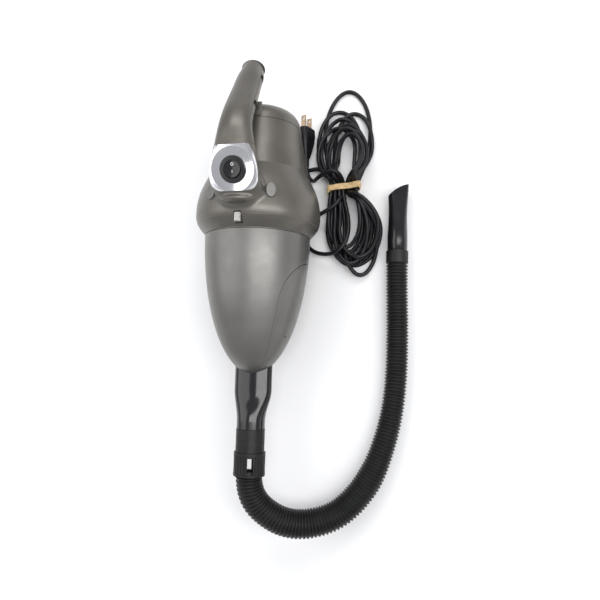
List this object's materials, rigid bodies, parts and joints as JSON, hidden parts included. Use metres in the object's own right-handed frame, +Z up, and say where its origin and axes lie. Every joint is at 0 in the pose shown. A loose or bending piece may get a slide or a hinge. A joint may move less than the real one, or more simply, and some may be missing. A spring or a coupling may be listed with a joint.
{
  "type": "corded hand vacuum cleaner",
  "caption": "Corded hand vacuum cleaner with an oval rocker panel, removable dust cup, corrugated hose, slanted crevice tool and a banded power cord with plug.",
  "frame": {"origin": "on the floor under the middle of the machine's length, in its plane of symmetry, cord and hose not counted", "axes": "+Z up from the floor it rests on; +Y along the motor axis from the nose to the rear; +X to the machine's left hand side when it is carried nose first"},
  "size_m": [0.2413, 0.5344, 0.1694],
  "materials": {
    "housing_shell": "satin warm grey silver",
    "nose_silver": "satin light silver",
    "handle_shell": "satin warm grey silver",
    "plate_silver": "mirror silver coating",
    "black_gloss": "gloss black",
    "black_matte": "semi-matte black",
    "satin_silver": "satin silver",
    "hose_black": "satin black, corrugated",
    "cord_black": "satin black jacket",
    "soft_black": "matte black",
    "band_tan": "natural rubber",
    "blade_brass": "plain",
    "filter_cloth": "woven, off-white",
    "filter_foam": "open foam",
    "inner_plastic": "moulded",
    "steel": "plain",
    "core_steel": "laminated",
    "copper": "enamelled copper wire",
    "carbon": "carbon",
    "fan_plastic": "moulded",
    "wire_jacket": "plain"
  },
  "bodies": {
    "housing": {"housing_left": "housing_shell", "housing_right": "housing_shell", "side_cap_left": "nose_silver", "side_cap_right": "nose_silver", "grip": "handle_shell", "handle_end_cap": "nose_silver", "switch_plate": "plate_silver", "switch_body": "black_gloss", "switch_terminals": "blade_brass", "button_spring": "steel", "rear_cap": "housing_shell", "rear_latch": "satin_silver", "exhaust_filter": "filter_foam", "cup_gasket": "soft_black", "fan_cover": "inner_plastic", "motor_frame": "steel", "motor_end_bell": "inner_plastic", "stator": "core_steel", "field_coils": "copper", "bearing_front": "steel", "bearing_rear": "steel", "carbon_brushes": "carbon", "brush_holders": "blade_brass", "motor_mount_front": "soft_black", "motor_mount_rear": "soft_black", "housing_screws": "steel", "strain_relief": "soft_black", "cord_lead": "cord_black", "cord_loop": "cord_black", "cord_tail": "cord_black", "cord_hank": "cord_black", "rubber_band": "band_tan", "plug_body": "cord_black", "plug_blades": "blade_brass", "switch_wires": "wire_jacket", "filter_frame": "inner_plastic", "filter_bag": "filter_cloth"},
    "rocker": {"rocker": "black_gloss"},
    "release_button": {"release_button": "satin_silver"},
    "rotor": {"motor_shaft": "steel", "impeller": "fan_plastic", "impeller_nut": "steel", "armature": "core_steel", "armature_windings": "copper", "commutator": "copper"},
    "dust_cup": {"dust_cup": "nose_silver", "nozzle_shell": "nose_silver"},
    "intake_flap": {"intake_flap": "soft_black"},
    "hose": {"hose_adapter": "black_gloss", "hose_sleeve": "black_matte", "hose_cuff": "black_matte", "hose_tube": "hose_black", "tool_collar": "black_matte"},
    "crevice_tool": {"crevice_tool": "black_gloss"}
  },
  "joints": [
    {"name": "power_rocker", "type": "hinge", "parent": "housing", "child": "rocker", "pos_m": [0, 0.03658, 0.15804], "axis": [1, 0, 0], "range_deg": [0, 18]},
    {"name": "release_press", "type": "slide", "parent": "housing", "child": "release_button", "axis": [0, 0, -1], "range_m": [0, 0.0025], "stiffness_N_per_m": 400, "deforming": ["button_spring"]},
    {"name": "rotor_spin", "type": "hinge", "parent": "housing", "child": "rotor", "pos_m": [0, 0.05, 0.07], "axis": [0, 1, 0], "continuous": true},
    {"name": "cup_pull", "type": "slide", "parent": "housing", "child": "dust_cup", "axis": [0, -1, 0], "range_m": [0, 0.12]},
    {"name": "flap_swing", "type": "hinge", "parent": "dust_cup", "child": "intake_flap", "pos_m": [0, -0.1292, 0.0816], "axis": [1, 0, 0], "range_deg": [0, 70]},
    {"name": "hose_pull", "type": "slide", "parent": "dust_cup", "child": "hose", "axis": [0, -1, 0], "range_m": [0, 0.04]},
    {"name": "tool_pull", "type": "slide", "parent": "hose", "child": "crevice_tool", "axis": [0, 1, 0], "range_m": [0, 0.03]}
  ]
}
